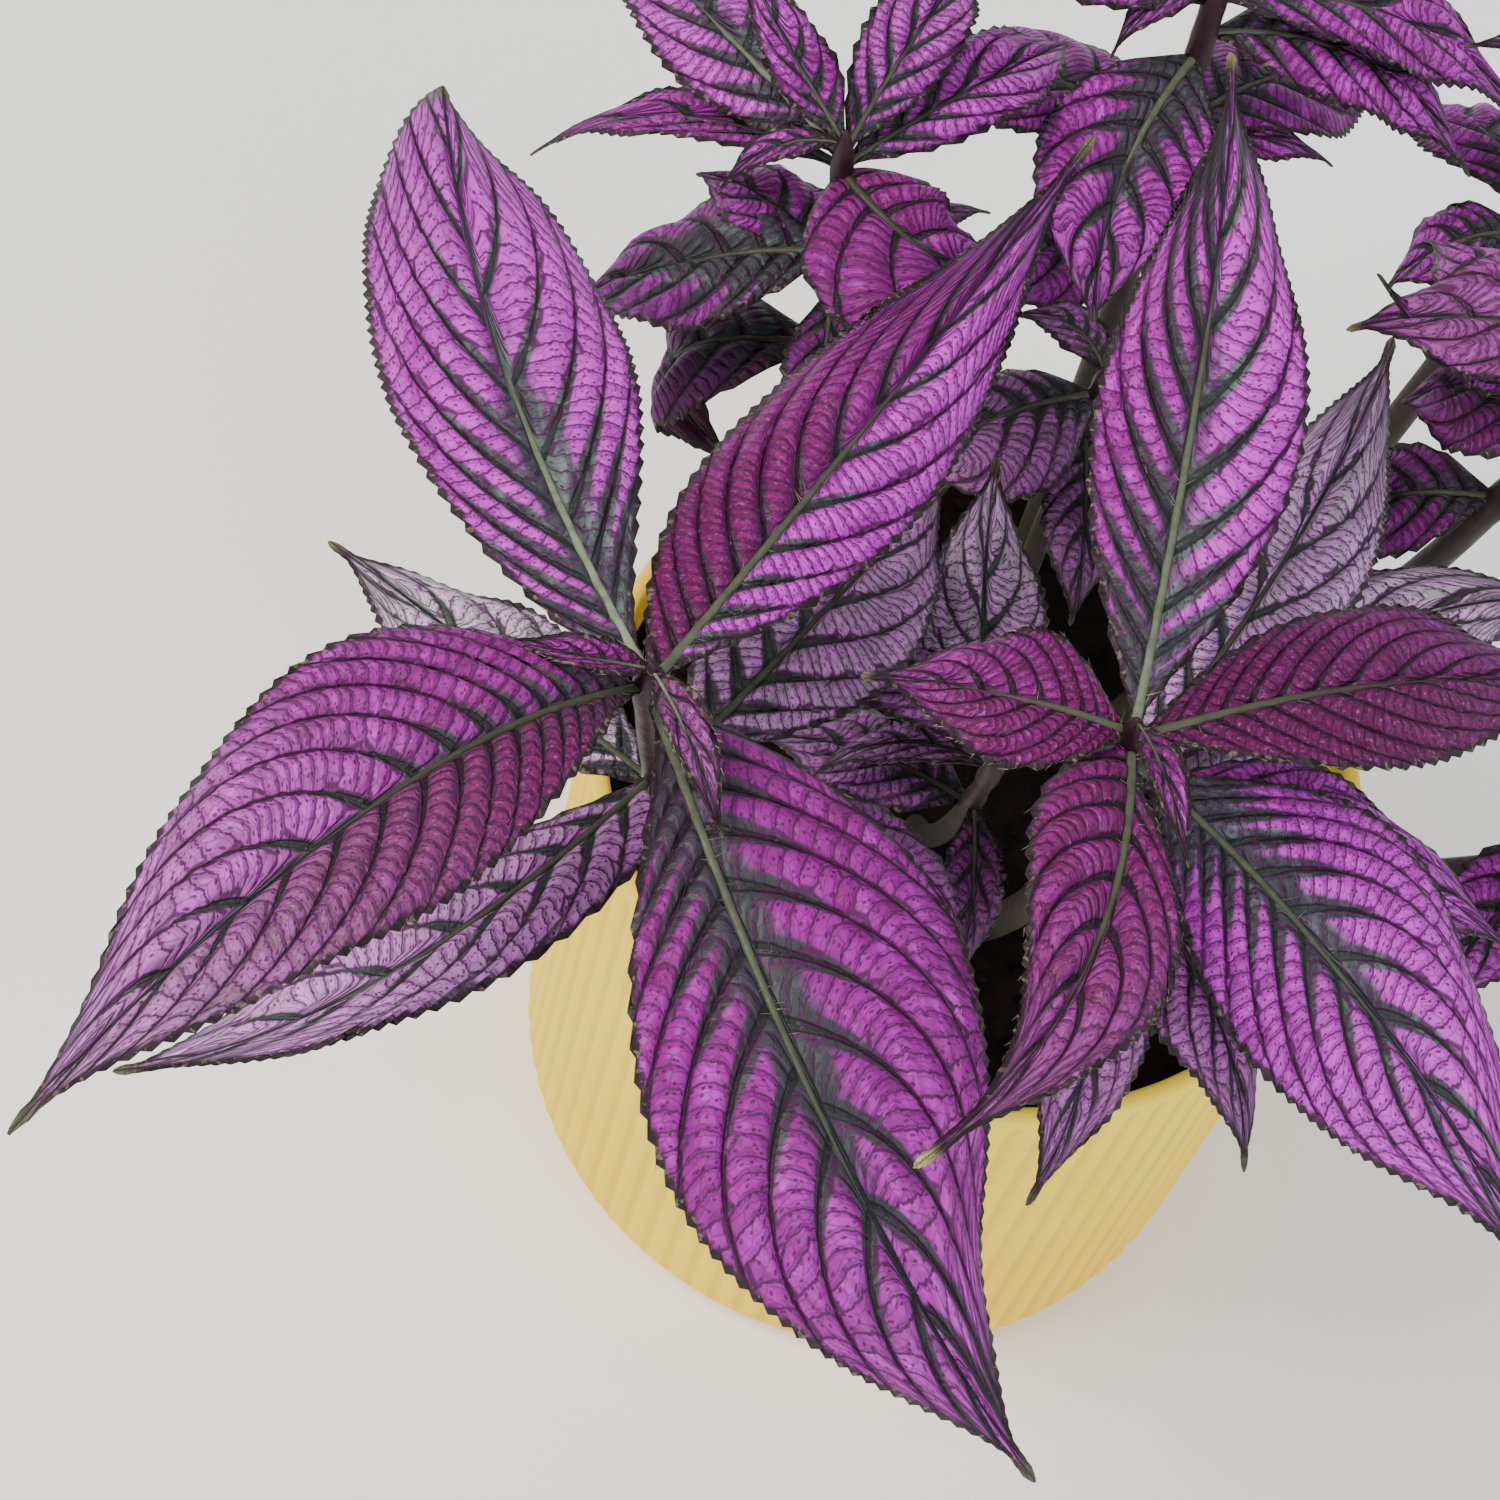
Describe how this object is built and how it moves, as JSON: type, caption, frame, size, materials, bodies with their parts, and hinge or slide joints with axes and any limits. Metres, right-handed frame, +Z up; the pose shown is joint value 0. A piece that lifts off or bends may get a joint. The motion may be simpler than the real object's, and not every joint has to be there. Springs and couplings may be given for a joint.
{
  "type": "potted persian shield",
  "caption": "Potted Persian shield: leafy shoots with puckered purple leaves and dark green veins, standing in a ribbed round pot of soil.",
  "frame": {"origin": "middle of the pot's flat foot, on the surface it stands on", "axes": "+Z up along the pot's axis, -Y towards the side the picture is taken from, +X to its right"},
  "size_m": [0.2623, 0.3246, 0.2661],
  "materials": {
    "pot": "matt, shallow upright ribs, pale yellow cream",
    "soil": "dark crumbly potting soil of peat and bark",
    "leaf": "satin, lilac to magenta panels between dark green veins, dark purple underneath"
  },
  "bodies": {
    "root": {"pot": "pot", "soil": "soil", "shoot_front_left": "leaf", "shoot_front_right": "leaf", "shoot_middle": "leaf", "shoot_inner": "leaf", "shoot_back_left": "leaf", "shoot_back_middle": "leaf", "shoot_right": "leaf", "shoot_far_right": "leaf", "shoot_back_right": "leaf"}
  },
  "joints": []
}
